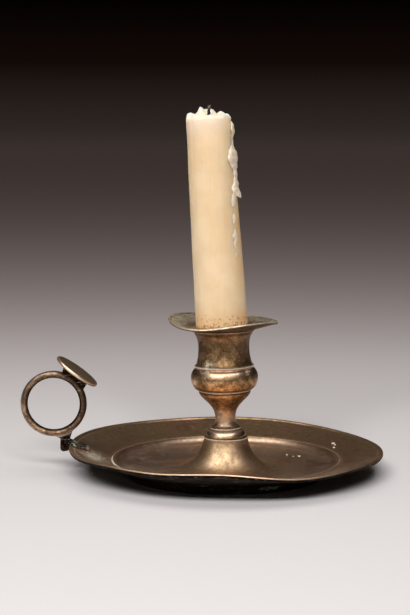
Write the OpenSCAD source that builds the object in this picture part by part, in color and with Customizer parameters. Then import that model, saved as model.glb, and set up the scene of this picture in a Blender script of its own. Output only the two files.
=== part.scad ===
// Hand candlestick (chamberstick): a turned brass pan with a trumpet foot, a stem
// and cup clamped on one rod, a loose nozzle with a drip plate, a finger ring with
// a thumb rest, and a part-burnt candle. Millimetres, +Z up, origin on the table
// under the middle of the pan. The finger ring points along -X.

/* [Pan] */
// Diameter of the pan over its rolled edge
pan_d = 144; // [130:1:170]
// Height of the middle of the rolled edge
edge_z = 11.9; // [11:0.1:16]
// Thickness of the rolled edge
edge_t = 1.8; // [1.5:0.1:2.4]
// Thickness of the sloping brim
brim_t = 1.2; // [1:0.1:1.4]
// Diameter of the ridge between the brim and the well
well_d = 105; // [100:1:112]
// Height of the top of that ridge
well_z = 7.0; // [6:0.1:8]
// Height of the upper face of the well's floor
floor_z = 2.0; // [1.8:0.1:3]
// Thickness of the well's floor
floor_t = 1.2; // [0.8:0.1:1.5]
// Outer diameter of the ring that the pan stands on
foot_d = 92.6; // [86:0.2:96]
// Width of that ring
foot_w = 3.8; // [2:0.2:6]

/* [Trumpet] */
// Diameter of the top of the trumpet
trumpet_d = 20.2; // [18:0.2:24]
// Height of the seat on top of the trumpet
seat_z = 16.6; // [15:0.1:22]
// Diameter where the flare runs out into the floor
flare_d = 60; // [50:1:70]
// Thickness of the trumpet's wall
trumpet_t = 1.2; // [0.8:0.1:1.6]

/* [Bends] */
// Height of each wave bent into the brim, the first going round once
brim_bend_mm = [1.3, 0.57, 0.23, 0.48]; // [0:0.01:2]
// Direction of a crest of each of these waves
brim_bend_deg = [189, 89, 16, -15]; // [-180:1:360]
// Height of the knocks along the front of the brim
brim_knock_mm = 0.68; // [0:0.02:0.8]
// Height of each wave bent into the drip plate
plate_bend_mm = [0.58, 1.22, 0.41]; // [0:0.01:1.5]
// Direction of a crest of each of these waves
plate_bend_deg = [147, 146, 56]; // [-180:1:360]
// Lean of the stem to the left, in degrees
stem_lean = 1.4; // [0:0.1:1.6]

/* [Stem] */
// Diameter of the collar between trumpet and stem
collar_d = 18.4; // [16:0.2:19]
// Height of the collar
collar_h = 4.6; // [3.5:0.1:6]
// Diameter of the ridge on top of the collar
ridge_d = 14; // [12:0.2:15]
// Diameter of the stem's neck
neck_d = 9.2; // [8:0.1:11]
// Height of the stem between collar and cup
stem_h = 16.8; // [14:0.2:24]
// Diameter of the stem where it meets the cup
shoulder_d = 23.8; // [22:0.2:26]

/* [Cup] */
// Height of the cup
cup_h = 28.4; // [26:0.2:34]
// Diameter of the cup's bulb
bulb_d = 30.7; // [29:0.1:34]
// Height of the ridge above the bulb over the bottom of the cup
bulb_h = 11.6; // [11:0.2:13]
// Diameter of the cup's waist
waist_d = 23.3; // [22.8:0.1:26]
// Diameter of the cup's lip
lip_d = 28.6; // [26:0.2:32]
// Diameter of the bore for the nozzle
bore_d = 20.8; // [19.6:0.1:21.2]
// Depth of that bore
bore_h = 21; // [19:0.5:22]

/* [Clamping rod] */
// Diameter of the rod
rod_d = 3.6; // [3:0.1:4.4]
// Diameter of the rod's head
head_d = 7; // [6:0.1:9]
// Height of the rod's head
head_h = 1.6; // [1:0.1:2]
// Width of the square nut
nut_w = 7; // [6:0.1:8]
// Height of the square nut
nut_h = 2.8; // [2:0.1:3.4]
// Diameter of the washer
washer_d = 10; // [9:0.1:11]
// Thickness of the washer
washer_t = 0.9; // [0.6:0.1:1.2]

/* [Nozzle] */
// Wall of the nozzle's sleeve
sleeve_t = 0.55; // [0.4:0.05:0.8]
// Length of the sleeve under the drip plate
sleeve_h = 18; // [14:0.5:19]
// Diameter of the drip plate over its edge
plate_d = 50; // [44:0.5:58]
// Thickness of the drip plate
plate_t = 0.8; // [0.6:0.05:1]
// Thickness of the drip plate's edge
plate_edge_t = 1.2; // [1:0.05:1.5]
// Rise of the drip plate from its seat to its edge
plate_rise = 3.4; // [2.6:0.1:5]

/* [Candle] */
// Diameter of the candle just above the drip plate
candle_d = 23.9; // [22:0.1:26]
// Diameter of the candle under its burnt crown
candle_top_d = 20.2; // [18:0.1:22]
// Length of the candle above the drip plate, crown left out
candle_h = 93.4; // [40:0.1:150]
// Lean of the candle against the stem, in degrees
candle_lean = 2.4; // [0:0.1:3]
// Step of the candle to the left of the nozzle's middle
candle_shift = 0.6; // [0:0.1:0.8]
// Length of the whittled butt inside the nozzle
butt_h = 17; // [8:0.5:18]
// Height of the burnt crown
crown_h = 5.4; // [3:0.1:6]
// Diameter of the wick
wick_d = 2.2; // [1.6:0.1:3]
// Length of the charred wick that stands above the crater
wick_out = 6; // [4:0.1:10]
// Thickness of the thickest wax run
wax_t = 1.9; // [1:0.1:2.6]

/* [Finger ring] */
// Inner diameter of the finger ring
ring_d = 23.8; // [20:0.1:26]
// Thickness of the ring, measured in its own plane
ring_t = 3.3; // [3:0.1:5]
// Thickness of the ring, measured across its plane
ring_w = 4.4; // [3.6:0.1:6]
// Distance from the pan's edge out to the ring's centre
ring_out = 7; // [5:0.1:9]
// Height of the ring's centre above the pan's edge
ring_up = 19.5; // [18:0.1:23]
// Length of the tongue that lies on the brim
tongue_l = 9.2; // [7.5:0.1:11]
// Width of the tongue
tongue_w = 8.4; // [7:0.1:10]
// Thickness of the tongue and of the jaw under the brim
tongue_t = 1.1; // [0.8:0.05:1.5]
// Diameter of the rivet through tongue and brim
rivet_d = 2.2; // [1.8:0.1:2.8]

/* [Thumb rest] */
// Diameter of the thumb rest
thumb_d = 22.2; // [19:0.1:24]
// Thickness of the thumb rest at its edge
thumb_t = 1.6; // [0.9:0.1:1.8]
// Height of the lug between the ring and the thumb rest
lug_h = 1.9; // [1.6:0.1:3]
// Tilt of the thumb rest out of the vertical, in degrees
thumb_tilt = 36; // [25:1:50]

/* [Hidden] */

$fn = 64;
slip = 0.15;         // radial play of the nozzle in the cup and of the butt in the nozzle
solder = 0.05;       // gap that a soldered or riveted joint closes
bead_r = 0.45;       // radius of the fine turned ridges
steps = 96;          // facets round a bent flange
past_all = 200;      // length of a cut that runs right through
pan_r = pan_d / 2;
edge_r = pan_r - edge_t / 2;
ridge_r = well_d / 2;
brim_z = well_z - brim_t / 2 - 0.15;   // middle of the brim's metal where it leaves the ridge
trumpet_r = trumpet_d / 2;
seat_t = 1.4;                          // metal over the hollow of the trumpet
rod_r = rod_d / 2;
rod_hole_r = rod_r + 0.12;
lift = collar_d / 2 * sin(stem_lean) + 0.05;   // keeps the leaning collar out of its seat
collar_top = collar_h;
stem_top = collar_top + stem_h;
cup_top = stem_top + cup_h;
bore_r = bore_d / 2;
bore_floor = cup_top - bore_h;
sleeve_r = bore_r - slip;
sleeve_in_r = sleeve_r - sleeve_t;
plate_z = cup_top + slip;              // underside of the drip plate on the lip
plate_r = (plate_d - plate_edge_t) / 2;
plate_flat_r = lip_d / 2 + 0.4;
butt_r = sleeve_in_r - slip;
wick_r = wick_d / 2;
wick_hole_r = wick_r + solder;
butt_z = plate_z + plate_t - butt_h;   // lower end of the candle
head_room = washer_d / 2 * sin(stem_lean) + 0.05;

// Curves

function mix(a, b, t) = a + (b - a) * t;
function ease(t) = t * t * (3 - 2 * t);
function arc(c, r, from, to, n) =
    [for (i = [0 : n]) let (a = mix(from, to, i / n)) c + r * [cos(a), sin(a)]];
function ellipse(c, rx, rz, from, to, n) =
    [for (i = [0 : n]) let (a = mix(from, to, i / n)) c + [rx * cos(a), rz * sin(a)]];

// The points of an open line, moved sideways by d, to the right of its direction.
function beside(line, d) =
    [for (i = [0 : len(line) - 1])
        let (a = line[max(i - 1, 0)], b = line[min(i + 1, len(line) - 1)], u = (b - a) / norm(b - a))
        line[i] + d * [u[1], -u[0]]];

function reversed(line) = [for (i = [len(line) - 1 : -1 : 0]) line[i]];

// Sum of the waves bent into a flange, at azimuth a.
function waves(mm, deg, a) =
    mm * [for (k = [0 : len(mm) - 1]) cos((k + 1) * (a - deg[k]))];

// Middle of the brim's metal at radius r and azimuth a.
function brim_share(r) = max(0, (r - ridge_r) / (edge_r - ridge_r));
function brim_mid(r, a) =
    mix(brim_z, edge_z, brim_share(r))
    + pow(brim_share(r), 1.3) * (waves(brim_bend_mm, brim_bend_deg, a) + knocks(a));

// Short knocks that fade from the front of the brim to both sides.
function knocks(a) = brim_knock_mm * max(0, cos(a + 90)) * cos(7 * (a + 90));

// Middle of the drip plate's metal at radius r and azimuth a.
function plate_share(r) = max(0, (r - plate_flat_r) / (plate_r - plate_flat_r));
function plate_mid(r, a) =
    plate_z + plate_t / 2 + plate_rise * pow(plate_share(r), 1.4)
    + pow(plate_share(r), 1.6) * waves(plate_bend_mm, plate_bend_deg, a);

// Outer line of the trumpet, from its top down to the floor of the well.
trumpet_n = 18;
trumpet_line =
    [for (i = [0 : trumpet_n])
        let (u = sin(90 * i / trumpet_n))
        [mix(trumpet_r, flare_d / 2, 1 - pow(1 - pow(u, 1.6), 0.35)), mix(seat_z, floor_z, u)]];

// Surfaces made of points

// A closed ring of metal. Each point of the loop is [radius, height over the middle line],
// and mid(r, a) gives the middle line.
module bent_ring(loop, n, mid) {
    m = len(loop);
    points = [for (i = [0 : n - 1], p = loop)
        let (a = 360 * i / n) [p[0] * cos(a), p[0] * sin(a), mid(p[0], a) + p[1]]];
    faces = [for (i = [0 : n - 1], j = [0 : m - 1])
        let (i2 = (i + 1) % n, j2 = (j + 1) % m)
        each [[i * m + j, i2 * m + j, i2 * m + j2], [i * m + j, i2 * m + j2, i * m + j2]]];
    polyhedron(points, faces);
}

// A slab between two grids of points that have the same rows and columns.
module slab(lower, upper) {
    rows = len(lower);
    cols = len(lower[0]);
    all = concat([for (row = lower) each row], [for (row = upper) each row]);
    up = rows * cols;
    function at(i, j) = i * cols + j;
    function pair(a, b, c, d) = [[a, c, b], [a, d, c]];
    faces = concat(
        [for (i = [0 : rows - 2], j = [0 : cols - 2])
            each pair(at(i, j), at(i, j + 1), at(i + 1, j + 1), at(i + 1, j))],
        [for (i = [0 : rows - 2], j = [0 : cols - 2])
            each pair(up + at(i + 1, j), up + at(i + 1, j + 1), up + at(i, j + 1), up + at(i, j))],
        [for (i = [0 : rows - 2])
            each pair(at(i + 1, 0), up + at(i + 1, 0), up + at(i, 0), at(i, 0))],
        [for (i = [0 : rows - 2])
            each pair(at(i, cols - 1), up + at(i, cols - 1), up + at(i + 1, cols - 1), at(i + 1, cols - 1))],
        [for (j = [0 : cols - 2])
            each pair(at(0, j), up + at(0, j), up + at(0, j + 1), at(0, j + 1))],
        [for (j = [0 : cols - 2])
            each pair(at(rows - 1, j + 1), up + at(rows - 1, j + 1), up + at(rows - 1, j), at(rows - 1, j))]);
    polyhedron(all, faces);
}

module turned(line) {
    rotate_extrude() polygon(line);
}

// Puts a piece on the leaning stem: z = 0 is the seat on the trumpet.
module on_stem() {
    translate([0, 0, seat_z]) rotate([0, -stem_lean, 0]) translate([0, 0, lift]) children();
}

// Pan

module well() {
    cove_r = ridge_r - 1.0;            // the cove ends on the inner side of the ridge
    cove_w = 11.5;
    hollow = beside(trumpet_line, trumpet_t);
    inside = [for (p = hollow) if (p[1] < seat_z - seat_t && p[1] > floor_z - floor_t) p];
    under = floor_z - floor_t;
    foot_r = foot_d / 2;
    turned(concat(
        [[rod_hole_r, seat_z], [trumpet_r - bead_r, seat_z]],
        [for (i = [1 : trumpet_n]) trumpet_line[i]],
        ellipse([cove_r - cove_w, well_z], cove_w, well_z - floor_z, -84, -6, 9),
        arc([ridge_r - 0.3, well_z - 0.5], 0.5, 150, 30, 5),
        [[ridge_r + 0.7, well_z - 0.6], [ridge_r + 0.7, brim_z - brim_t / 2 - 0.15]],
        [[ridge_r - 0.6, brim_z - brim_t / 2 - 0.5], [foot_r + 0.5, 0.9]],
        arc([foot_r - 0.6, 0.6], 0.6, -25, -90, 3),
        [[foot_r - foot_w, 0], [foot_r - foot_w - 0.6, under]],
        [[inside[len(inside) - 1][0], under]],
        reversed(inside),
        [[inside[0][0], seat_z - seat_t], [rod_hole_r, seat_z - seat_t]]));
}

module brim() {
    top = brim_t / 2;
    start = ridge_r + 0.1;             // buried in the ridge
    bent_ring(concat(
        [for (i = [0 : 5]) [mix(start, edge_r - edge_t / 2, i / 5), top]],
        [for (p = arc([edge_r, 0], edge_t / 2, 125, -125, 9)) p],
        [for (i = [5 : -1 : 0]) [mix(start, edge_r - edge_t / 2, i / 5), -top]]),
        steps, function (r, a) brim_mid(r, a));
}

module drip_pan() {
    color("#8a6a45") difference() {
        union() {
            well();
            brim();
            translate([0, 0, seat_z]) rotate_extrude() translate([trumpet_r - bead_r, 0]) circle(bead_r);
        }
        at_rivet() cylinder(h = 8, r = rivet_d / 2 + solder, center = true);
    }
}

// Stem

module foot_collar() {
    color("#9a7448") on_stem() difference() {
        union() {
            turned(concat(
                [[0, 0], [collar_d / 2 - 0.5, 0]],
                ellipse([ridge_d / 2 - 0.6, 0.4], (collar_d - ridge_d) / 2 + 0.6, collar_h - 1.4, 0, 84, 9),
                [[ridge_d / 2 - bead_r, collar_h - 0.9], [ridge_d / 2 - bead_r, collar_h], [0, collar_h]]));
            translate([0, 0, collar_h - bead_r])
                rotate_extrude() translate([ridge_d / 2 - bead_r, 0]) circle(bead_r);
        }
        rod_hole();
    }
}

module stem() {
    foot_r = ridge_d / 2 - 0.7;
    neck_z = collar_top + stem_h * 0.24;
    n = 16;
    color("#8f6d45") on_stem() difference() {
        turned(concat(
            [[0, collar_top + solder], [foot_r, collar_top + solder]],
            [for (i = [1 : 5]) let (a = 90 * i / 5)
                [foot_r - (foot_r - neck_d / 2) * sin(a), mix(neck_z, collar_top + 0.4, cos(a))]],
            [for (i = [1 : n]) let (t = i / n)
                [mix(neck_d / 2, shoulder_d / 2, 0.12 * t * (1 - t) + ease(pow(t, 1.5))),
                 mix(neck_z, stem_top, t)]],
            [[0, stem_top]]));
        rod_hole();
    }
}

module rod_hole() {
    cylinder(h = past_all, r = rod_hole_r, center = true);
}

module candle_cup() {
    bulb_r = bulb_d / 2;
    waist_r = waist_d / 2;
    lip_r = lip_d / 2;
    ridge_z = stem_top + bulb_h;
    belly_z = stem_top + bulb_h * 0.6;
    waist_z = ridge_z + (cup_h - bulb_h) * 0.5;
    root_r = waist_r - 0.05;           // the bulb's ellipse is drawn from this radius
    n = 10;
    color("#96714a") on_stem() difference() {
        union() {
            turned(concat(
                [[0, stem_top + solder], [shoulder_d / 2, stem_top + solder]],
                ellipse([root_r, belly_z], bulb_r - root_r, bulb_h * 0.6 - 0.6, -80, 0, 8),
                ellipse([root_r, belly_z], bulb_r - root_r, bulb_h * 0.4 + 0.8, 6, 58, 6),
                [for (i = [0 : n]) let (t = i / n)
                    [waist_r + 1.45 * (1 - t) * (1 - t), mix(ridge_z + 0.2, waist_z, t)]],
                [for (i = [1 : n]) let (t = i / n)
                    [mix(waist_r, lip_r - 0.4, pow(t, 2.6)), mix(waist_z, cup_top - 0.8, t)]],
                arc([lip_r - 0.4, cup_top - 0.4], 0.4, -80, 90, 6),
                [[0, cup_top]]));
            translate([0, 0, stem_top + bead_r + solder])
                rotate_extrude() translate([shoulder_d / 2 - bead_r / 2, 0]) circle(bead_r);
            translate([0, 0, ridge_z])
                rotate_extrude() translate([waist_r + 1.55, 0]) circle(bead_r);
        }
        translate([0, 0, bore_floor]) cylinder(h = bore_h + 1, r = bore_r);
        rod_hole();
    }
}

rod_end = -(seat_t + lift + head_room + washer_t + nut_h + 1.2);

module clamp_rod() {
    slot_w = 1;
    color("#4b4642") on_stem() difference() {
        union() {
            translate([0, 0, rod_end]) cylinder(h = bore_floor - rod_end + head_h / 2, r = rod_r);
            translate([0, 0, bore_floor + solder]) cylinder(h = head_h, r1 = head_d / 2, r2 = head_d / 2 - 0.5);
        }
        translate([0, 0, bore_floor + solder + head_h])
            cube([head_d + 1, slot_w, head_h], center = true);
    }
}

washer_z = -(seat_t + lift + head_room + washer_t);

module clamp_washer() {
    color("#57504a") on_stem() difference() {
        translate([0, 0, washer_z]) cylinder(h = washer_t, r = washer_d / 2);
        rod_hole();
    }
}

module clamp_nut() {
    color("#57504a") on_stem() difference() {
        intersection() {
            translate([0, 0, washer_z - solder - nut_h / 2]) cube([nut_w, nut_w, nut_h], center = true);
            translate([0, 0, washer_z - solder - nut_h]) cylinder(h = nut_h, r1 = nut_w * 0.66, r2 = nut_w * 0.74);
        }
        rod_hole();
    }
}

// Nozzle

module nozzle_sleeve() {
    color("#8c7550") on_stem() difference() {
        translate([0, 0, plate_z - sleeve_h]) cylinder(h = sleeve_h + plate_t, r = sleeve_r);
        translate([0, 0, plate_z - sleeve_h - 1]) cylinder(h = sleeve_h + plate_t + 2, r = sleeve_in_r);
    }
}

module drip_plate() {
    top = plate_t / 2;
    start = plate_flat_r - 0.7;        // buried in the flat middle
    edge = plate_edge_t / 2;
    color("#8d8054") on_stem() union() {
        difference() {
            translate([0, 0, plate_z]) cylinder(h = plate_t, r = plate_flat_r);
            cylinder(h = past_all, r = sleeve_r + solder / 2);
        }
        bent_ring(concat(
            [[start, top - 0.1]],
            [for (i = [1 : 7]) [mix(start, plate_r - edge, i / 7), top - 0.1]],
            arc([plate_r, 0], edge, 130, -130, 7),
            [for (i = [7 : -1 : 1]) [mix(start, plate_r - edge, i / 7), 0.1 - top]],
            [[start, 0.1 - top]]),
            72, function (r, a) plate_mid(r, a));
    }
}

// Candle

module on_candle() {
    on_stem() translate([-candle_shift, 0, plate_z + plate_t + 0.8])
        rotate([0, -candle_lean, 0]) children();
}

candle_r = candle_d / 2;
candle_top_r = candle_top_d / 2;
function candle_at(z) = mix(candle_r, candle_top_r, z / candle_h);

module candle() {
    shoulder_h = 1.6;
    color("#ead2ab") difference() {
        union() {
            on_stem() translate([0, 0, butt_z]) cylinder(h = butt_h + 0.3, r = butt_r);
            on_stem() translate([0, 0, plate_z + plate_t + 0.15])
                cylinder(h = shoulder_h, r1 = butt_r, r2 = candle_r - 1);
            on_candle() cylinder(h = candle_h, r1 = candle_r, r2 = candle_top_r);
            on_candle() crown();
        }
        on_candle() translate([0, 0, -60]) cylinder(h = candle_h + 80, r = wick_hole_r);
    }
}

// The burnt rim, high at the back and low in front of the wick.
function crown_rim(a) = crown_h * (0.66 + 0.27 * sin(a) - 0.09 * cos(a) + 0.07 * cos(5 * a - 90));

module crown() {
    n = 48;
    r = candle_top_r;
    m = 9;
    // each row: share of the radius, share of the rim's height
    shape = [[0.985, -0.5], [0.975, 0.5], [0.93, 0.9], [0.86, 1], [0.76, 0.9], [0.6, 0.55], [0.35, 0.25],
             [(wick_hole_r + 0.3) / r, 0.12], [(wick_hole_r + 0.3) / r, -0.5]];
    points = [for (i = [0 : n - 1], s = shape) let (a = 360 * i / n)
        [s[0] * r * cos(a), s[0] * r * sin(a), candle_h + (s[1] < 0 ? s[1] : s[1] * crown_rim(a) + 0.05)]];
    faces = [for (i = [0 : n - 1], j = [0 : m - 1])
        let (i2 = (i + 1) % n, j2 = (j + 1) % m)
        each [[i * m + j, i * m + j2, i2 * m + j2], [i * m + j, i2 * m + j2, i2 * m + j]]];
    polyhedron(points, faces);
}

module wick() {
    char_z = candle_h + 0.6;
    color("#2a211c") {
        on_candle() translate([0, 0, -butt_h]) cylinder(h = char_z + butt_h, r = wick_r);
        on_candle() translate([0, 0, char_z]) rotate([0, 12, 0])
            cylinder(h = wick_out, r1 = wick_r, r2 = wick_r * 0.7);
    }
}

// One run of set wax on the candle's side: middle azimuth, upper and lower end,
// width in degrees, thickness, and how much of the thickness gathers in the end drop.
module wax_run(a0, top, low, width, thick, drop) {
    rows = 18;
    cols = 8;
    function body(u) = (1 - drop) * pow(sin(90 * min(1, u * 4 + 0.1)), 2) * (0.8 + 0.2 * cos(900 * u - 234))
        + drop * exp(-pow((u - 0.92) / 0.08, 2));
    function thin(u, v) = wax_t / 16 + thick * body(u) * pow(max(0, 1 - v * v), 0.6) * (u > 0.98 ? 0.4 : 1);
    function wide(u) = width * (0.7 + 0.3 * cos(500 * u));
    function grid(over) = [for (i = [0 : rows]) let (u = i / rows)
        [for (j = [0 : cols]) let (v = 2 * j / cols - 1, a = a0 + wide(u) * v / 2,
            z = mix(top, low, u), r = candle_at(z) + solder + over * thin(u, v))
            [r * cos(a), r * sin(a), z]]];
    slab(grid(0), grid(1));
}

// Each run: middle azimuth, upper and lower end as shares of the candle's height, width in
// degrees, share of the thickest run's thickness, share of that thickness in the end drop.
wax_list = [
    [-6, 0.979, 0.91, 34, 0.58, 0],
    [-8, 0.861, 0.62, 36, 1, 0.5],
    [-45, 0.604, 0.315, 22, 0.26, 0.2]
];

module wax_runs() {
    color("#f3e6d0") on_candle() {
        for (w = wax_list) wax_run(w[0], w[1] * candle_h, w[2] * candle_h, w[3], w[4] * wax_t, w[5]);
    }
}

// Handle

handle_z = brim_mid(edge_r, 180);
ring_c = [-(pan_r + ring_out), handle_z + ring_up];
ring_r = (ring_d + ring_t) / 2;
ring_outer = ring_d / 2 + ring_t;
jaw_gap = edge_t / 2 + solder;          // from the brim's middle line to the tongue or the jaw

module ring_solid(extra = 0) {
    translate([ring_c[0], 0, ring_c[1]]) rotate([90, 0, 0])
        rotate_extrude() translate([ring_r, 0]) union() {
            translate([0, (ring_w - ring_t) / 2]) circle(ring_t / 2 + extra);
            translate([0, -(ring_w - ring_t) / 2]) circle(ring_t / 2 + extra);
            square([ring_t + 2 * extra, ring_w - ring_t], center = true);
        }
}

// The tail that comes down from the ring to the outside of the pan's edge.
module tail() {
    in_x = -(pan_r + 0.12);
    out_x = in_x - 3.9;
    low = handle_z - 2.1;
    thick = ring_w - 0.4;
    translate([0, thick / 2, 0]) rotate([90, 0, 0]) linear_extrude(thick)
        polygon(concat(
            [for (a = [-40 : -10 : -100]) ring_c + (ring_r + 0.2) * [cos(a), sin(a)]],
            [[out_x + 0.1, handle_z + 3.6], [out_x, handle_z + 0.4]],
            arc([out_x + 1.6, low + 1.2], 1.6, 190, 260, 4),
            arc([in_x - 0.8, low + 0.7], 0.8, -80, 0, 4),
            [[in_x, handle_z + 1.6], [in_x + 0.6, handle_z + 3.6]],
            [ring_c + ring_outer * [cos(-56), sin(-56)], ring_c + (ring_outer - 0.3) * [cos(-46), sin(-46)]]));
}

// A plate that follows the brim from the tail inwards to x = -reach.
module follow_brim(from, to, width, low, high, round_end) {
    rows = 10;
    cols = 8;
    function half(x) = round_end && x > to - width / 2
        ? sqrt(max(0.02, pow(width / 2, 2) - pow(x - to + width / 2, 2))) : width / 2;
    function grid(off) = [for (i = [0 : rows]) let (x = mix(from, to - 0.05, i / rows))
        [for (j = [0 : cols]) let (y = half(x) * (2 * j / cols - 1))
            [x, y, brim_mid(norm([x, y]), atan2(y, x)) + off]]];
    slab(grid(low), grid(high));
}

module finger_ring() {
    color("#8b6f4b") difference() {
        union() {
            ring_solid();
            tail();
            follow_brim(-(pan_r + 2), -(pan_r - tongue_l), tongue_w, jaw_gap, jaw_gap + tongue_t, true);
            follow_brim(-(pan_r + 2), -(pan_r - 3.6), ring_w - 0.4, -jaw_gap - tongue_t, -jaw_gap, false);
        }
        at_rivet() cylinder(h = 8, r = rivet_d / 2 + solder, center = true);
    }
}

rivet_x = pan_r - 6.2;
rivet_tilt = atan(brim_mid(rivet_x + 1, 180) / 2 - brim_mid(rivet_x - 1, 180) / 2);

// The rivet stands square on the brim.
module at_rivet() {
    translate([-rivet_x, 0, brim_mid(rivet_x, 180)]) rotate([0, rivet_tilt, 0]) children();
}

module handle_rivet() {
    head_r = rivet_d * 0.95;
    under = brim_t / 2 + 0.12;
    color("#8b6f4b") at_rivet() {
        translate([0, 0, -under]) cylinder(h = under + jaw_gap + tongue_t, r = rivet_d / 2);
        translate([0, 0, -under - 0.9]) cylinder(h = 0.9, r1 = head_r * 0.6, r2 = head_r);
    }
}

// Puts a piece over the ring, with +Z away from the ring's centre along the thumb rest's axis.
module over_ring() {
    translate([ring_c[0], 0, ring_c[1]]) rotate([0, thumb_tilt, 0]) children();
}

module thumb_lug() {
    top = ring_outer + lug_h;
    color("#6f5a3e") difference() {
        over_ring() translate([0, (ring_w - 1) / 2, 0]) rotate([90, 0, 0]) linear_extrude(ring_w - 1)
            polygon([[-5.2, ring_outer - 2.3], [-6.6, top], [6.8, top], [7.2, ring_outer - 2.3]]);
        ring_solid(solder);
    }
}

module thumb_rest() {
    r = thumb_d / 2;
    base = ring_outer + lug_h + solder;
    dish = 0.5;
    color("#a07a3e") over_ring() translate([0, 0, base]) turned(concat(
        [[0, 0], [r * 0.62, 0]],
        [[r - 0.5, 0.5]],
        arc([r - thumb_t / 2, 0.5 + thumb_t / 2], thumb_t / 2, -60, 100, 7),
        [for (i = [0 : 6]) let (t = i / 6)
            [mix(r - thumb_t / 2 - 0.5, 0, t), 0.5 + thumb_t - dish * sin(90 * t) - 0.05]]));
}

drip_pan();
foot_collar();
stem();
candle_cup();
clamp_rod();
clamp_washer();
clamp_nut();
nozzle_sleeve();
drip_plate();
candle();
wick();
wax_runs();
finger_ring();
handle_rivet();
thumb_lug();
thumb_rest();
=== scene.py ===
import math

import bmesh
import bpy
from mathutils import Matrix, Vector, noise


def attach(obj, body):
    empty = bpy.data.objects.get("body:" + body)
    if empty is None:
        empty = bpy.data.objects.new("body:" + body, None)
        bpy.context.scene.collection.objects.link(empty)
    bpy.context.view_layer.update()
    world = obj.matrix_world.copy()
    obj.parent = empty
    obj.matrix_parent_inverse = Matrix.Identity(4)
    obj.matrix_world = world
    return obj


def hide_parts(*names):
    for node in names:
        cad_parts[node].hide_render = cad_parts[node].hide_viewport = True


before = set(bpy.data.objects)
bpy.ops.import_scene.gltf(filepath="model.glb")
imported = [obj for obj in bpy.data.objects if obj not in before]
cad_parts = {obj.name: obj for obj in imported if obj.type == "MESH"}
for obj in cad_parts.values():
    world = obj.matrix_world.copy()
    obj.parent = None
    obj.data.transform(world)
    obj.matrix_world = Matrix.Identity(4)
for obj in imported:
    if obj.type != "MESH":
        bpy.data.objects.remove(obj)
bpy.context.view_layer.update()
print("frame loaded:", len(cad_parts), "nodes")

mm = 0.001               # the pieces are shaped in millimetres and scaled once at the end


# Small helpers for curves

def mix(a, b, t):
    return a + (b - a) * t


def steps(count):
    return [i / count for i in range(count + 1)]


def arc(centre, radius, start, end, count=8):
    # radius may be a pair, for an ellipse
    rx, rz = radius if isinstance(radius, tuple) else (radius, radius)
    angles = [math.radians(mix(start, end, t)) for t in steps(count)]
    return [(centre[0] + rx * math.cos(a), centre[1] + rz * math.sin(a)) for a in angles]


def bump(x, centre, width):
    # a bell curve of height 1
    return math.exp(-(((x - centre) / width) ** 2))


def turnedBy(a, b):
    # smallest turn between two directions in degrees
    return (a - b + 180) % 360 - 180


def azimuthOf(co):
    return math.degrees(math.atan2(co.y, co.x))


def waves(heights, crests, azimuth):
    # the sum of the waves bent into a flange, the first going round once
    pairs = enumerate(zip(heights, crests), start=1)
    return sum(h * math.cos(math.radians(k * (azimuth - crest))) for k, (h, crest) in pairs)


# Small helpers for meshes

def spun(line, count, closed=True):
    # a profile of (radius, height) points turned on the lathe
    bm = bmesh.new()
    verts = [bm.verts.new((r, 0, z)) for r, z in line]
    edges = [bm.edges.new(pair) for pair in zip(verts, verts[1:])]
    if closed:
        edges.append(bm.edges.new((verts[-1], verts[0])))
    bmesh.ops.spin(bm, geom=verts + edges, cent=(0, 0, 0), axis=(0, 0, 1),
                   angle=math.tau, steps=count, use_merge=True)
    bmesh.ops.remove_doubles(bm, verts=bm.verts, dist=0.001)
    bmesh.ops.recalc_face_normals(bm, faces=bm.faces)
    return bm


def moved(bm, matrix):
    bmesh.ops.transform(bm, matrix=matrix, verts=bm.verts)
    return bm


def painted(bm, layer, rule):
    # a value from 0 to 1 on each vertex, which the materials read by name
    values = bm.verts.layers.float.new(layer)
    for v in bm.verts:
        v[values] = max(0.0, min(1.0, rule(v.co)))
    return bm


def asObject(name, bm):
    mesh = bpy.data.meshes.new(name)
    bmesh.ops.scale(bm, vec=(mm, mm, mm), verts=bm.verts)
    bm.to_mesh(mesh)
    bm.free()
    for face in mesh.polygons:
        face.use_smooth = True
    piece = bpy.data.objects.new(name, mesh)
    bpy.context.scene.collection.objects.link(piece)
    return piece


def finished(piece, body, material, nodes=()):
    piece.data.materials.clear()
    piece.data.materials.append(material)
    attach(piece, body)
    if nodes:
        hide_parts(*nodes)
    print("made", piece.name, len(piece.data.polygons), "faces")
    return piece


def melted(piece, voxel, rounds):
    # joins overlapping lumps into one skin and softens it, with the result kept in the mesh
    remesh = piece.modifiers.new("melt", "REMESH")
    remesh.mode = "VOXEL"
    remesh.voxel_size = voxel * mm
    remesh.use_smooth_shade = True
    smooth = piece.modifiers.new("soften", "SMOOTH")
    smooth.factor = 0.5
    smooth.iterations = rounds
    ready = piece.evaluated_get(bpy.context.evaluated_depsgraph_get())
    mesh = bpy.data.meshes.new_from_object(ready)
    piece.modifiers.clear()
    piece.data = mesh
    for face in mesh.polygons:
        face.use_smooth = True
    return piece


# Small helpers for materials

def toLinear(hexColour):
    # "#rrggbb" as an artist picks it, turned to the linear values that shaders use
    parts = [int(hexColour[i:i + 2], 16) / 255 for i in (1, 3, 5)]
    return [c / 12.92 if c <= 0.04045 else ((c + 0.055) / 1.055) ** 2.4 for c in parts] + [1.0]


def addNode(tree, kind, sockets=None, **settings):
    # one node with its settings, and with values or links on its sockets
    node = tree.nodes.new(kind)
    for name, value in settings.items():
        setattr(node, name, value)
    for name, value in (sockets or {}).items():
        if isinstance(value, bpy.types.NodeSocket):
            tree.links.new(value, node.inputs[name])
        else:
            node.inputs[name].default_value = value
    return node


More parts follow.
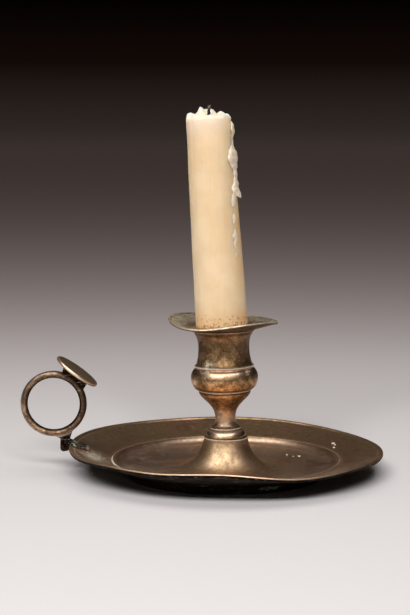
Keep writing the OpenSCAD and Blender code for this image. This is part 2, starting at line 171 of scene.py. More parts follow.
def newMaterial(name):
    material = bpy.data.materials.new(name)
    material.use_nodes = True
    tree = material.node_tree
    tree.nodes.clear()
    return material, tree


def perSize(sizeMm):
    # noise scale whose features are about this many millimetres wide
    return 1000 / sizeMm


def noiseAt(tree, place, sizeMm, detail=4.0, rough=0.55, distortion=0.0):
    node = addNode(tree, "ShaderNodeTexNoise", {
        "Vector": place, "Scale": perSize(sizeMm), "Detail": detail,
        "Roughness": rough, "Distortion": distortion})
    return node.outputs["Fac"]


def remap(tree, value, low, high, toLow=0.0, toHigh=1.0):
    node = addNode(tree, "ShaderNodeMapRange", {
        "Value": value, "From Min": low, "From Max": high, "To Min": toLow, "To Max": toHigh})
    return node.outputs["Result"]


def maths(tree, operation, a, b=0.0, clamp=False):
    node = addNode(tree, "ShaderNodeMath", {0: a, 1: b}, operation=operation, use_clamp=clamp)
    return node.outputs["Value"]


def blended(tree, factor, colourA, colourB, kind="MIX"):
    node = addNode(tree, "ShaderNodeMix", {"Factor": factor}, data_type="RGBA", blend_type=kind)
    for socket, value in (("A", colourA), ("B", colourB)):
        target = [s for s in node.inputs if s.name == socket and s.type == "RGBA"][0]
        if isinstance(value, bpy.types.NodeSocket):
            tree.links.new(value, target)
        else:
            target.default_value = toLinear(value)
    return [s for s in node.outputs if s.type == "RGBA"][0]


def layerValue(tree, layer):
    return addNode(tree, "ShaderNodeAttribute", attribute_name=layer).outputs["Fac"]


def flecked(tree, layer, pattern):
    # flecks of the pattern that grow together as the layer's value rises
    flecks = remap(tree, maths(tree, "ADD", pattern, maths(tree, "MULTIPLY", layer, 0.3)), 0.66, 0.74)
    return maths(tree, "MULTIPLY", flecks, maths(tree, "MULTIPLY", layer, 4.0, True), True)


# Aged brass: a warm copper and zinc alloy, turned or spun, then browned by a century of air
# and hands. The eye sees a soft satin metal with brown and olive blotches, fine turning lines,
# dark pits, and paler polished metal on every ridge. The wear layer also carries painted
# highlights, and the grime layer also carries painted shade.

def agedBrass(look):
    material, tree = newMaterial(look["name"])
    place = addNode(tree, "ShaderNodeTexCoord").outputs["Object"]
    patch = noiseAt(tree, place, look["patchMm"], 4, 0.55, 0.6)
    blotch = noiseAt(tree, place, look["blotchMm"], 5, 0.58, 0.9)
    mottle = noiseAt(tree, place, look["mottleMm"], 5, 0.56)
    grain = noiseAt(tree, place, look["grainMm"], 3, 0.6)

    # turning lines run round the axis, so they read only the radius and the height
    axes = addNode(tree, "ShaderNodeSeparateXYZ", {"Vector": place})
    radius = maths(tree, "SQRT", maths(tree, "ADD",
                   maths(tree, "POWER", axes.outputs["X"], 2.0),
                   maths(tree, "POWER", axes.outputs["Y"], 2.0)))
    rings = addNode(tree, "ShaderNodeCombineXYZ", {"X": radius, "Z": axes.outputs["Z"]})
    turning = noiseAt(tree, rings.outputs["Vector"], look["turningMm"], 2, 0.5)

    # scratches: long thin noise in two directions, of which only the crests show
    scratch = 0.0
    for turn in look["scratchDeg"]:
        along = addNode(tree, "ShaderNodeMapping", {
            "Vector": place, "Rotation": (0.3, 0.2, math.radians(turn)), "Scale": (0.05, 1.0, 1.0)})
        lines = noiseAt(tree, along.outputs["Vector"], look["scratchMm"], 2, 0.5)
        scratch = maths(tree, "MAXIMUM", scratch, remap(tree, lines, 0.66, 0.74))
    scratch = maths(tree, "MULTIPLY", scratch, remap(tree, blotch, 0.4, 0.6))

    # browning: patches, mottle and grain together pick a tone between dark, body and bright
    browning = maths(tree, "ADD", maths(tree, "MULTIPLY", patch, 0.42), maths(tree, "MULTIPLY", mottle, 0.36))
    browning = maths(tree, "ADD", browning, maths(tree, "MULTIPLY", grain, 0.22))
    tones = addNode(tree, "ShaderNodeValToRGB", {"Fac": browning})
    ramp = tones.color_ramp
    ramp.elements[0].position, ramp.elements[0].color = look["spread"][0], toLinear(look["dark"])
    ramp.elements[1].position, ramp.elements[1].color = look["spread"][1], toLinear(look["bright"])
    middle = ramp.elements.new(sum(look["spread"]) / 2)
    middle.color = toLinear(look["body"])
    colour = tones.outputs["Color"]
    stain = maths(tree, "MULTIPLY", remap(tree, blotch, *look["stainAt"]), look["stains"])
    colour = blended(tree, stain, colour, look["stain"])

    # pits: small dark specks where the metal was porous
    pits = addNode(tree, "ShaderNodeTexVoronoi", {"Vector": place, "Scale": perSize(look["pitMm"])})
    pitMask = maths(tree, "MULTIPLY",
                    remap(tree, pits.outputs["Distance"], 0.2, 0.06),
                    remap(tree, mottle, 0.47, 0.58))
    colour = blended(tree, maths(tree, "MULTIPLY", pitMask, look["pits"]), colour, look["grimeAndShade"])

    # grime and painted shade gather where the grime layer says; worn metal and painted highlights shine where the wear
    # layer says
    grimeAndShade = maths(tree, "MULTIPLY", layerValue(tree, "grimeAndShade"), remap(tree, mottle, 0.3, 0.55, 0.7, 1.3), True)
    colour = blended(tree, grimeAndShade, colour, look["grimeAndShade"])
    wearAndHighlight = maths(tree, "MULTIPLY", layerValue(tree, "wearAndHighlight"), remap(tree, grain, 0.3, 0.6, 0.6, 1.0), True)
    bareAndHighlight = maths(tree, "MAXIMUM", wearAndHighlight, maths(tree, "MULTIPLY", scratch, 0.5))
    colour = blended(tree, bareAndHighlight, colour, look["wornAndHighlight"])

    # crust: pale wax and green verdigris dried on the metal, and pale lines on the beads that are partly painted
    # highlight
    fine = maths(tree, "ADD", maths(tree, "MULTIPLY", mottle, 0.35), maths(tree, "MULTIPLY", grain, 0.65))
    crustAndHighlight = flecked(tree, layerValue(tree, "crustAndHighlight"), fine)
    crustColour = blended(tree, remap(tree, grain, 0.4, 0.6), look["crustPale"], look["crustGreen"])
    colour = blended(tree, crustAndHighlight, colour, crustColour)

    rough = remap(tree, maths(tree, "ADD", maths(tree, "MULTIPLY", mottle, 0.5),
                              maths(tree, "MULTIPLY", patch, 0.5)),
                  0.36, 0.64, look["rough"][1], look["rough"][0])
    rough = maths(tree, "ADD", rough, maths(tree, "MULTIPLY", stain, 0.12))
    rough = maths(tree, "SUBTRACT", rough, maths(tree, "MULTIPLY", wearAndHighlight, 0.08))
    rough = maths(tree, "ADD", rough, maths(tree, "MULTIPLY", maths(tree, "ADD", grimeAndShade, crustAndHighlight), 0.3), True)
    metal = maths(tree, "SUBTRACT", look["metallic"],
                  maths(tree, "ADD", maths(tree, "MULTIPLY", grimeAndShade, 0.05), maths(tree, "MULTIPLY", crustAndHighlight, 0.95)), True)

    height = maths(tree, "ADD", maths(tree, "MULTIPLY", turning, look["turningDepth"]),
                   maths(tree, "ADD", maths(tree, "MULTIPLY", mottle, look["mottleDepth"]),
                         maths(tree, "SUBTRACT", maths(tree, "MULTIPLY", crustAndHighlight, 0.25),
                               maths(tree, "MULTIPLY", maths(tree, "ADD", pitMask, scratch), 0.05))))
    relief = addNode(tree, "ShaderNodeBump", {"Height": height, "Strength": 1.0, "Distance": mm})
    shader = addNode(tree, "ShaderNodeBsdfPrincipled", {
        "Base Color": colour, "Metallic": metal, "Roughness": rough, "Normal": relief.outputs["Normal"]})
    addNode(tree, "ShaderNodeOutputMaterial", {"Surface": shader.outputs["BSDF"]})
    return material


brassLook = {
    "name": "aged spun brass, pan", "dark": "#8f7858", "body": "#c2a27a", "bright": "#eab496",
    "wornAndHighlight": "#fcdcc4", "grimeAndShade": "#140a04", "stain": "#74583c", "crustPale": "#ddd6c4", "crustGreen": "#a3a893",
    "spread": (0.4, 0.6), "patchMm": 24, "blotchMm": 10, "mottleMm": 2.4, "grainMm": 0.7, "pitMm": 1.8,
    "pits": 0.75, "stainAt": (0.5, 0.64), "stains": 0.55, "scratchMm": 0.5, "scratchDeg": (35, 150),
    "turningMm": 0.5, "turningDepth": 0.02, "mottleDepth": 0.04, "rough": (0.34, 0.5), "metallic": 1.0,
}
panBrass = agedBrass(brassLook)
stemBrass = agedBrass(brassLook | {
    "name": "aged turned brass, stem", "dark": "#685033", "body": "#a58056", "bright": "#e5bd94",
    "stain": "#523a22", "patchMm": 8, "blotchMm": 4.5, "mottleMm": 2.2, "turningMm": 0.35, "turningDepth": 0.012, "mottleDepth": 0.025, "rough": (0.27, 0.42),
    "crustPale": "#e8dcc4", "crustGreen": "#bfb094"})
plateBrass = agedBrass(brassLook | {
    "name": "aged spun brass, drip plate", "dark": "#745c42", "body": "#b8966e", "bright": "#e6be96",
    "wornAndHighlight": "#f6e0c6", "stain": "#4c3b28", "patchMm": 7, "blotchMm": 4, "mottleMm": 1.4, "rough": (0.38, 0.54)})
ringBrass = agedBrass(brassLook | {
    "name": "aged cast brass, ring", "dark": "#524231", "body": "#83674e", "bright": "#b8987c",
    "wornAndHighlight": "#f4e8de", "stain": "#443428", "patchMm": 7, "blotchMm": 4, "mottleMm": 1.4, "turningDepth": 0.0,
    "mottleDepth": 0.06, "rough": (0.32, 0.46)})
thumbBrass = agedBrass(brassLook | {
    "name": "aged cast brass, thumb rest", "dark": "#80704f", "body": "#b0976c", "bright": "#d6ba8c",
    "stain": "#5c4833", "patchMm": 6, "blotchMm": 3.5, "mottleMm": 1.3, "turningDepth": 0.0, "rough": (0.36, 0.5)})


# Wrought iron of the rod, washer and nut: dull, nearly black, with a rusty bloom.

def wroughtIron(look):
    material, tree = newMaterial("wrought iron")
    place = addNode(tree, "ShaderNodeTexCoord").outputs["Object"]
    bloom = noiseAt(tree, place, look["bloomMm"], 6, 0.6)
    grain = noiseAt(tree, place, look["grainMm"], 4, 0.6)
    colour = blended(tree, remap(tree, bloom, 0.45, 0.62), look["iron"], look["rust"])
    relief = addNode(tree, "ShaderNodeBump", {"Height": grain, "Strength": 0.6, "Distance": 0.1 * mm})
    shader = addNode(tree, "ShaderNodeBsdfPrincipled", {
        "Base Color": colour, "Metallic": remap(tree, bloom, 0.45, 0.62, 0.85, 0.2),
        "Roughness": remap(tree, grain, 0.3, 0.7, 0.45, 0.7), "Normal": relief.outputs["Normal"]})
    addNode(tree, "ShaderNodeOutputMaterial", {"Surface": shader.outputs["BSDF"]})
    return material


iron = wroughtIron({"iron": "#4a4541", "rust": "#5e3f2b", "bloomMm": 2.5, "grainMm": 0.5})


# Tallow and wax candle: cast, then handled and scraped. Light sinks a few millimetres in, so the
# ivory looks lit from within, whiter where it has melted and set, with brown dirt at the foot.

def candleWax(look):
    material, tree = newMaterial(look["name"])
    place = addNode(tree, "ShaderNodeTexCoord").outputs["Object"]
    cloud = noiseAt(tree, place, look["cloudMm"], 4, 0.5)
    mottle = noiseAt(tree, place, look["mottleMm"], 6, 0.6)
    grain = noiseAt(tree, place, look["grainMm"], 3, 0.6)
    colour = blended(tree, remap(tree, cloud, 0.38, 0.64), look["deep"], look["body"])
    upright = addNode(tree, "ShaderNodeMapping", {"Vector": place, "Scale": (1.0, 1.0, look["scrapeLong"])})
    scrapes = noiseAt(tree, upright.outputs["Vector"], look["scrapeMm"], 5, 0.6)
    colour = blended(tree, remap(tree, scrapes, 0.5, 0.8, 0.0, 0.22), colour, look["amberAndShade"])
    amberAndShade = maths(tree, "MULTIPLY", layerValue(tree, "amberAndShade"), remap(tree, scrapes, 0.3, 0.6, 0.3, 1.0), True)
    colour = blended(tree, amberAndShade, colour, look["amberAndShade"])
    melt = layerValue(tree, "melt")
    colour = blended(tree, maths(tree, "MULTIPLY", melt, remap(tree, mottle, 0.25, 0.6, 0.7, 1.0), True),
                     colour, look["melted"])
    fine = maths(tree, "MULTIPLY", maths(tree, "ADD", mottle, grain), 0.5)
    dirt = flecked(tree, layerValue(tree, "dirt"), fine)
    colour = blended(tree, maths(tree, "MULTIPLY", dirt, 0.85), colour, look["dirt"])
    soot = layerValue(tree, "soot")
    colour = blended(tree, soot, colour, look["soot"])
    height = maths(tree, "ADD", maths(tree, "MULTIPLY", mottle, 0.2),
                   maths(tree, "ADD", maths(tree, "MULTIPLY", grain, 0.06), maths(tree, "MULTIPLY", scrapes, 0.3)))
    relief = addNode(tree, "ShaderNodeBump", {"Height": height, "Strength": 0.55, "Distance": mm})
    shader = addNode(tree, "ShaderNodeBsdfPrincipled", {
        "Base Color": colour, "Roughness": remap(tree, mottle, 0.3, 0.7, 0.38, 0.55),
        "IOR": 1.44, "Subsurface Weight": look["depth"], "Subsurface Scale": look["sinkMm"] * mm,
        "Subsurface Radius": (1.0, 0.62, 0.34), "Normal": relief.outputs["Normal"]})
    addNode(tree, "ShaderNodeOutputMaterial", {"Surface": shader.outputs["BSDF"]})
    return material


waxLook = {
    "name": "tallow wax", "deep": "#dec49e", "body": "#e6cfac", "melted": "#e9dbc8", "amberAndShade": "#dcae74",
    "dirt": "#8e5226", "soot": "#3a2c20", "cloudMm": 14, "mottleMm": 1.8, "grainMm": 0.6, "scrapeMm": 1.6,
    "scrapeLong": 0.06, "depth": 0.9, "sinkMm": 7.0,
}
tallow = candleWax(waxLook)
setWax = candleWax(waxLook | {"name": "set wax drips", "deep": "#e0cdb4", "body": "#e8d8c4",
                              "depth": 0.2, "sinkMm": 1.5})


# Charred cotton wick: braided yarn burnt to a dull black crust with a little grey ash at its tip.

def charredCotton(look):
    material, tree = newMaterial("charred cotton")
    place = addNode(tree, "ShaderNodeTexCoord").outputs["Object"]
    crumb = noiseAt(tree, place, look["crumbMm"], 6, 0.7)
    ash = maths(tree, "MULTIPLY", layerValue(tree, "ash"), remap(tree, crumb, 0.4, 0.6), True)
    colour = blended(tree, remap(tree, crumb, 0.35, 0.65), look["char"], look["brown"])
    colour = blended(tree, ash, colour, look["ash"])
    relief = addNode(tree, "ShaderNodeBump", {"Height": crumb, "Strength": 0.9, "Distance": 0.3 * mm})
    shader = addNode(tree, "ShaderNodeBsdfPrincipled", {
        "Base Color": colour, "Roughness": 0.95, "Normal": relief.outputs["Normal"]})
    addNode(tree, "ShaderNodeOutputMaterial", {"Surface": shader.outputs["BSDF"]})
    return material


burntWick = charredCotton({"char": "#15100d", "brown": "#3a281c", "ash": "#8d8783", "crumbMm": 0.6})
print("materials ready")


# The stem leans a little on the trumpet; its own pieces are shaped upright and then leaned

stemSeat = {"seatZ": 16.6, "leanDeg": 1.4, "liftMm": 0.275}
onStem = (Matrix.Translation((0, 0, stemSeat["seatZ"]))
          @ Matrix.Rotation(math.radians(-stemSeat["leanDeg"]), 4, "Y")
          @ Matrix.Translation((0, 0, stemSeat["liftMm"])))


# Pan: one closed profile, spun, then its brim is bent out of true

pan = {
    "edgeR": 71.1, "edgeZ": 11.9, "edgeHalf": 0.9, "brimHalf": 0.6, "ridgeR": 52.5, "brimZ": 6.25,
    "floorZ": 2.0, "floorT": 1.2, "wellZ": 7.0, "wallR": 45.8, "wallAt": (46.85, 7.69), "wallArc": (5.2, 4.0),
    "footR": 46.3, "footW": 3.8, "trumpetR": 10.1, "seatZ": 16.6, "flareR": 30.0, "trumpetT": 1.2,
    "holeR": 1.92, "beadR": 0.45, "grooveR": 69.6, "grooveDeep": 0.2,
    "bendMm": (1.3, 0.57, 0.23, 0.48), "bendDeg": (189, 89, 16, -15), "knockMm": 0.68, "count": 288,
}


def trumpetPoint(u):
    # u runs from 0 at the top to 1 where the flare lies flat on the floor
    flare = 1 - (1 - u ** 1.6) ** 0.35
    return (mix(pan["trumpetR"], pan["flareR"], flare), mix(pan["seatZ"], pan["floorZ"], u))


def brimShare(r):
    return max(0.0, (r - pan["ridgeR"]) / (pan["edgeR"] - pan["ridgeR"]))


def brimBend(r, azimuth):
    # long waves all round, and a row of small knocks in front
    front = math.radians(azimuth + 90)
    knocks = pan["knockMm"] * max(0.0, math.cos(front)) * math.cos(7 * front)
    return brimShare(r) ** 1.3 * (waves(pan["bendMm"], pan["bendDeg"], azimuth) + knocks)


def brimMid(r, azimuth):
    # middle of the brim's metal, bends included
    return mix(pan["brimZ"], pan["edgeZ"], brimShare(r)) + brimBend(r, azimuth)


def wellHeight(r):
    # top of the well's floor, and of the fillet that is its wall
    if r <= pan["wallR"]:
        rise = max(0.0, (r - pan["flareR"]) / (pan["wallR"] - pan["flareR"])) ** 1.3
        return mix(pan["floorZ"], pan["wallAt"][1] - pan["wallArc"][1] * 0.98, rise)
    across = min(1.0, (r - pan["wallAt"][0]) / pan["wallArc"][0])
    return pan["wallAt"][1] - pan["wallArc"][1] * math.sqrt(1 - across ** 2)


def panProfile():
    p = pan
    flat = {"r": p["footR"], "in": p["footR"] - p["footW"], "under": p["floorZ"] - p["floorT"]}

    def brimLine(r, side):
        return (r, mix(p["brimZ"], p["edgeZ"], brimShare(r)) + side * p["brimHalf"])

    trumpet = [trumpetPoint(math.sin(math.pi / 2 * t)) for t in steps(44)]
    line = [(p["holeR"], p["seatZ"]), (6.0, p["seatZ"])]
    line += arc((p["trumpetR"] - p["beadR"], p["seatZ"]), p["beadR"], 150, -62, 12)
    line += [q for q in trumpet if q[1] < p["seatZ"] - 0.75]
    line += [(r, wellHeight(r)) for r in (mix(p["flareR"], p["wallR"], t) for t in steps(16)[1:])]
    line += arc(p["wallAt"], p["wallArc"], -78, -14, 22)
    line += arc((p["ridgeR"] - 0.3, p["wellZ"] - 0.45), 0.5, 165, 15, 8)
    line += [brimLine(mix(p["ridgeR"] + 0.5, p["grooveR"] - 0.3, t), 1) for t in steps(22)]
    gr, gz = brimLine(p["grooveR"], 1)
    line += [(gr - 0.12, gz - p["grooveDeep"]), (gr + 0.12, gz - p["grooveDeep"]), brimLine(gr + 0.3, 1)]
    line += arc((p["edgeR"], p["edgeZ"]), p["edgeHalf"], 128, -128, 20)
    line += [brimLine(mix(p["edgeR"] - 0.9, p["ridgeR"] + 0.9, t), -1) for t in steps(18)]
    line += [(mix(p["ridgeR"] - 0.6, flat["r"] + 0.6, t), mix(5.15, 1.0, t ** 0.9)) for t in steps(8)]
    line += arc((flat["r"] - 0.6, 0.6), 0.6, -10, -90, 5)
    line += [(flat["in"], 0.0), (flat["in"] - 0.3, 0.15), (flat["in"] - 0.6, flat["under"])]
    line += [(mix(flat["in"] - 1.0, p["flareR"], t), flat["under"]) for t in steps(4)]
    inner = []
    for a, b in zip(trumpet, trumpet[1:]):
        along = Vector((b[0] - a[0], b[1] - a[1])).normalized()
        inner.append((a[0] + along.y * p["trumpetT"], a[1] - along.x * p["trumpetT"]))
    line += [q for q in inner[::-1] if flat["under"] < q[1] < p["seatZ"] - 1.5]
    line += [(inner[3][0], p["seatZ"] - 1.4), (p["holeR"], p["seatZ"] - 1.4)]
    return line


def makePan():
    bm = spun(panProfile(), pan["count"])
    edgeR, ridgeR = pan["edgeR"], pan["ridgeR"]

    def wearAndHighlight(co):
        r = math.hypot(co.x, co.y)
        roundEdge = math.degrees(math.atan2(co.z - pan["edgeZ"], r - edgeR)) if r > edgeR - 0.5 else 180
        # the rim's edge is painted bright in front and hardly at the back: a painted highlight where the light catches
        # the rim
        front = bump(turnedBy(azimuthOf(co), -98), 0, 75)
        onEdge = bump(roundEdge, 72, 34) * mix(0.04, 1.0, front)
        onRidge = bump(r, ridgeR - 0.2, 0.42) if co.z > 5.9 else 0
        onBead = bump(r, pan["trumpetR"] - 0.1, 0.4) * bump(co.z, pan["seatZ"] + 0.1, 0.45)
        onTrumpet = 0.15 * bump(r, 13, 6) if co.z > 3 else 0
        a = azimuthOf(co)
        # the well is painted paler all over and most on the left: worn metal, and a painted reflection on the left
        inWell = mix(0.5, 1.0, bump(turnedBy(a, 195), 0, 65)) * (r < ridgeR - 0.8)
        inWell *= max(0.0, min(1.0, (r - 18) / 18)) if r < 36 else 1
        inWell *= co.z > wellHeight(r) - 0.3
        # the pale patch on the brim's front right is a painted sheen; the one on the left, by the handle, is wear
        onBrim = 0.7 * bump(turnedBy(a, -42), 0, 30) * bump(r, 64, 7) + 0.55 * bump(turnedBy(a, 190), 0, 30)
        onBrim *= ridgeR + 1 < r < edgeR and co.z > mix(pan["brimZ"], pan["edgeZ"], brimShare(r))
        return max(onEdge, onRidge, onBead, onTrumpet, inWell, onBrim)

    def grimeAndShade(co):
        r = math.hypot(co.x, co.y)
        brimZ = mix(pan["brimZ"], pan["edgeZ"], brimShare(r)) + (0.1 if r > edgeR - 0.5 else 0)
        # the underside of the brim and of the well is painted near black: painted shade
        under = 1.3 if (co.z < brimZ if r > ridgeR - 0.2 else r > 42 and co.z < wellHeight(r) - 0.5) else 0
        groove = 0.8 * bump(r, pan["grooveR"], 0.22)
        # the creases beside the ridge and under the trumpet's top bead are painted darker
        besideRidge = 0.7 * bump(r, ridgeR + 0.75, 0.35)
        besideBead = 0.8 * bump(co.z, pan["seatZ"] - 0.75, 0.35) * (1 if r < 11 else 0)
        return max(under, groove, besideRidge, besideBead)

    def crustAndHighlight(co):
        # wax and verdigris beside the ring's tongue and under the brim; the pale lines on the ridge's left and on the
        # trumpet's top bead are partly dried polish in the joint, partly painted highlight
        r, a = math.hypot(co.x, co.y), azimuthOf(co)
        byTongue = bump(turnedBy(a, 190), 0, 15) * bump(r, 61, 8) if co.z > 7 else 0
        onRidge = bump(turnedBy(a, 192), 0, 24) * bump(r, ridgeR - 0.2, 0.6) * (co.z > 6)
        onBead = bump(r, pan["trumpetR"] + 0.1, 0.5) * bump(co.z, pan["seatZ"] + 0.1, 0.35)
        below = bump(turnedBy(a, -68), 0, 9) * bump(r, 50, 3) * (co.z < 5)
        return 0.7 * byTongue + 0.9 * onRidge + onBead + 0.6 * below

    painted(bm, "wearAndHighlight", wearAndHighlight)
    painted(bm, "grimeAndShade", grimeAndShade)
    painted(bm, "crustAndHighlight", crustAndHighlight)
    for v in bm.verts:
        r, azimuth = math.hypot(v.co.x, v.co.y), azimuthOf(v.co)
        v.co.z += brimBend(r, azimuth)
        if brimShare(r) > 0 or v.co.z > 2.5:   # shallow dents that only the reflections show
            v.co.z += 0.12 * noise.noise(v.co / 17) * min(1, brimShare(r) * 2) * (r < 70)
    finished(asObject("drip_pan_brass", bm), "base", panBrass, ["drip_pan"])


makePan()


# Collar, stem and cup: three turned pieces, each with its own profile

collar = {"baseR": 9.2, "ridgeR": 7.0, "height": 4.6, "beadR": 0.45, "holeR": 1.92}
stem = {"z": 4.65, "height": 16.75, "footR": 6.3, "neckR": 4.6, "neckAt": 0.24, "topR": 11.9}
cup = {"z": 21.45, "top": 49.8, "rootR": 11.6, "bulbR": 15.35, "bulbH": 11.6, "waistR": 11.65, "lipR": 14.3,
       "boreR": 10.4, "boreDeep": 21.0, "beadR": 0.5}


def makeCollar():
    c = collar
    line = [(c["holeR"], 0.0), (c["baseR"] - 0.8, 0.0), (c["baseR"] - 0.5, 0.05)]
    line += arc((c["ridgeR"] - 0.6, 0.5), (c["baseR"] - c["ridgeR"] + 0.6, c["height"] - 1.5), -6, 82, 20)
    line += arc((c["ridgeR"] - c["beadR"], c["height"] - c["beadR"]), c["beadR"], -75, 90, 10)
    line += [(c["holeR"], c["height"])]
    bm = spun(line, 160)
    # the broad pale band low on the collar is a painted highlight; the top bead is worn
    painted(bm, "wearAndHighlight", lambda co: bump(co.z, c["height"] - 0.2, 0.5) + 0.6 * bump(co.z, 2.4, 1.2))
    painted(bm, "grimeAndShade", lambda co: 0.8 * bump(co.z, c["height"] - 1.25, 0.35) + 0.9 * bump(co.z, 0.1, 0.5))
    # the pale line on the top bead is partly dried polish, partly painted highlight
    painted(bm, "crustAndHighlight", lambda co: bump(co.z, c["height"] - 0.35, 0.3) * (math.hypot(co.x, co.y) > 6.3))
    finished(asObject("collar_brass", moved(bm, onStem)), "base", stemBrass, ["foot_collar"])


def makeStem():
    s = stem
    neckZ = s["z"] + s["height"] * s["neckAt"]
    top = s["z"] + s["height"]
    line = [(collar["holeR"], s["z"]), (s["footR"], s["z"])]
    for t in steps(14)[1:]:
        a = math.pi / 2 * t
        line.append((s["footR"] - (s["footR"] - s["neckR"]) * math.sin(a), mix(neckZ, s["z"] + 0.35, math.cos(a))))
    for t in steps(40)[1:]:
        ease = t ** 1.5
        swell = ease * ease * (3 - 2 * ease)
        line.append((mix(s["neckR"], s["topR"], 0.12 * t * (1 - t) + swell), mix(neckZ, top, t)))
    line += [(collar["holeR"], top)]
    bm = spun(line, 160)
    painted(bm, "wearAndHighlight", lambda co: 0.35 * bump(co.z, neckZ, 4))
    painted(bm, "grimeAndShade", lambda co: 0.8 * bump(co.z, s["z"] + 0.3, 0.5) + 0.3 * bump(co.z, neckZ + 2, 5)
            + 0.6 * bump(co.z, top, 0.8))
    painted(bm, "crustAndHighlight", lambda co: 0.6 * bump(turnedBy(azimuthOf(co), 236), 0, 26) * bump(co.z, neckZ + 2, 4))
    finished(asObject("stem_brass", moved(bm, onStem)), "base", stemBrass, ["stem"])


def makeCup():
    c = cup
    ridgeZ = c["z"] - 0.05 + c["bulbH"]
    bellyZ = c["z"] - 0.05 + c["bulbH"] * 0.55
    waistZ = ridgeZ + (c["top"] - ridgeZ) * 0.5
    line = [(collar["holeR"], c["z"]), (11.5, c["z"])]
    line += arc((11.72, c["z"] + c["beadR"]), c["beadR"], -90, 62, 10)
    line += arc((c["rootR"], bellyZ), (c["bulbR"] - c["rootR"], c["bulbH"] * 0.55 - 0.6), -72, 0, 18)
    line += arc((c["rootR"], bellyZ), (c["bulbR"] - c["rootR"], c["bulbH"] * 0.41), 4, 66, 18)
    line += arc((c["waistR"] + 1.45, ridgeZ), c["beadR"], -60, 120, 12)
    line += [(c["waistR"] + 1.25 * (1 - t) ** 2, mix(ridgeZ + 0.45, waistZ, t)) for t in steps(20)[1:]]
    line += [(mix(c["waistR"], c["lipR"] - 0.4, t ** 2.6), mix(waistZ, c["top"] - 0.8, t)) for t in steps(24)[1:]]
    line += arc((c["lipR"] - 0.4, c["top"] - 0.4), 0.4, -70, 90, 10)
    line += arc((c["boreR"] + 0.3, c["top"] - 0.3), 0.3, 90, 180, 5)
    line += [(c["boreR"], c["top"] - c["boreDeep"]), (collar["holeR"], c["top"] - c["boreDeep"])]
    bm = spun(line, 192)

    def wearAndHighlight(co):
        r = math.hypot(co.x, co.y)
        outside = r > c["boreR"] + 0.6
        beads = bump(co.z, c["z"] + 0.5, 0.5) + bump(co.z, ridgeZ + 0.1, 0.45) * (r > 12.6)
        # a painted highlight on the bulb's shoulder
        band = 0.6 * bump(co.z, ridgeZ - 1.9, 1.2)
        return (beads + band + 0.6 * bump(co.z, c["top"] - 0.1, 0.4)) * outside

    def grimeAndShade(co):
        r = math.hypot(co.x, co.y)
        if r < c["boreR"] + 0.6:
            return 0.7
        darkBands = 0.6 * bump(co.z, ridgeZ + 0.8, 0.4) + 0.6 * bump(co.z, c["z"] + 1.3, 0.4)
        # the dark band round the bulb's belly is a painted reflection of the dark room
        darkBands += 0.4 * bump(co.z, ridgeZ - 4.6, 0.9)
        # the broad band over the upper cup is painted shade under the drip plate
        return darkBands + 0.55 * bump(co.z, waistZ + 1.5, 6.5) + 0.3 * bump(co.z, c["top"] - 1.4, 0.7)

    def crustAndHighlight(co):
        # a little white polish or wax dried on the left of the waist and on both sides of the bulb
        a = azimuthOf(co)
        left = 1.25 * bump(turnedBy(a, 234), 0, 20) * bump(co.z, ridgeZ + 2.2, 2.2)
        shoulder = bump(turnedBy(a, 232), 0, 14) * bump(co.z, ridgeZ - 1.6, 1.2)
        right = bump(turnedBy(a, 318), 0, 9) * bump(co.z, ridgeZ - 2.0, 1.6)
        # the pale lines on the beads are partly dried polish, partly painted highlight
        beads = bump(co.z, c["z"] + 0.6, 0.3) + bump(co.z, ridgeZ + 0.15, 0.3) * (math.hypot(co.x, co.y) > 12.6)
        return 0.65 * (left + shoulder + right) + beads

    painted(bm, "wearAndHighlight", wearAndHighlight)
    painted(bm, "grimeAndShade", grimeAndShade)
    painted(bm, "crustAndHighlight", crustAndHighlight)
    finished(asObject("cup_brass", moved(bm, onStem)), "base", stemBrass, ["candle_cup"])


makeCollar()
makeStem()
makeCup()


# Rod, washer, nut and rivet keep their solids

for nodeName, material in (("clamp_rod", iron), ("clamp_washer", iron), ("clamp_nut", iron),
                           ("handle_rivet", ringBrass), ("nozzle_sleeve", plateBrass)):
    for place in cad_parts[nodeName].material_slots:
        place.material = material


# Drip plate: spun thin, then bent; it lies loose on the cup's lip

plate = {
    "z": 49.95, "t": 0.8, "holeR": 10.28, "flatR": 14.7, "edgeR": 24.4, "edgeHalf": 0.6, "rise": 3.4,
    "bendMm": (0.58, 1.22, 0.41), "bendDeg": (147, 146, 56), "dipMm": 1.1, "dipDeg": -15, "count": 224,
}


def plateShare(r):
    return max(0.0, (r - plate["flatR"]) / (plate["edgeR"] - plate["flatR"]))


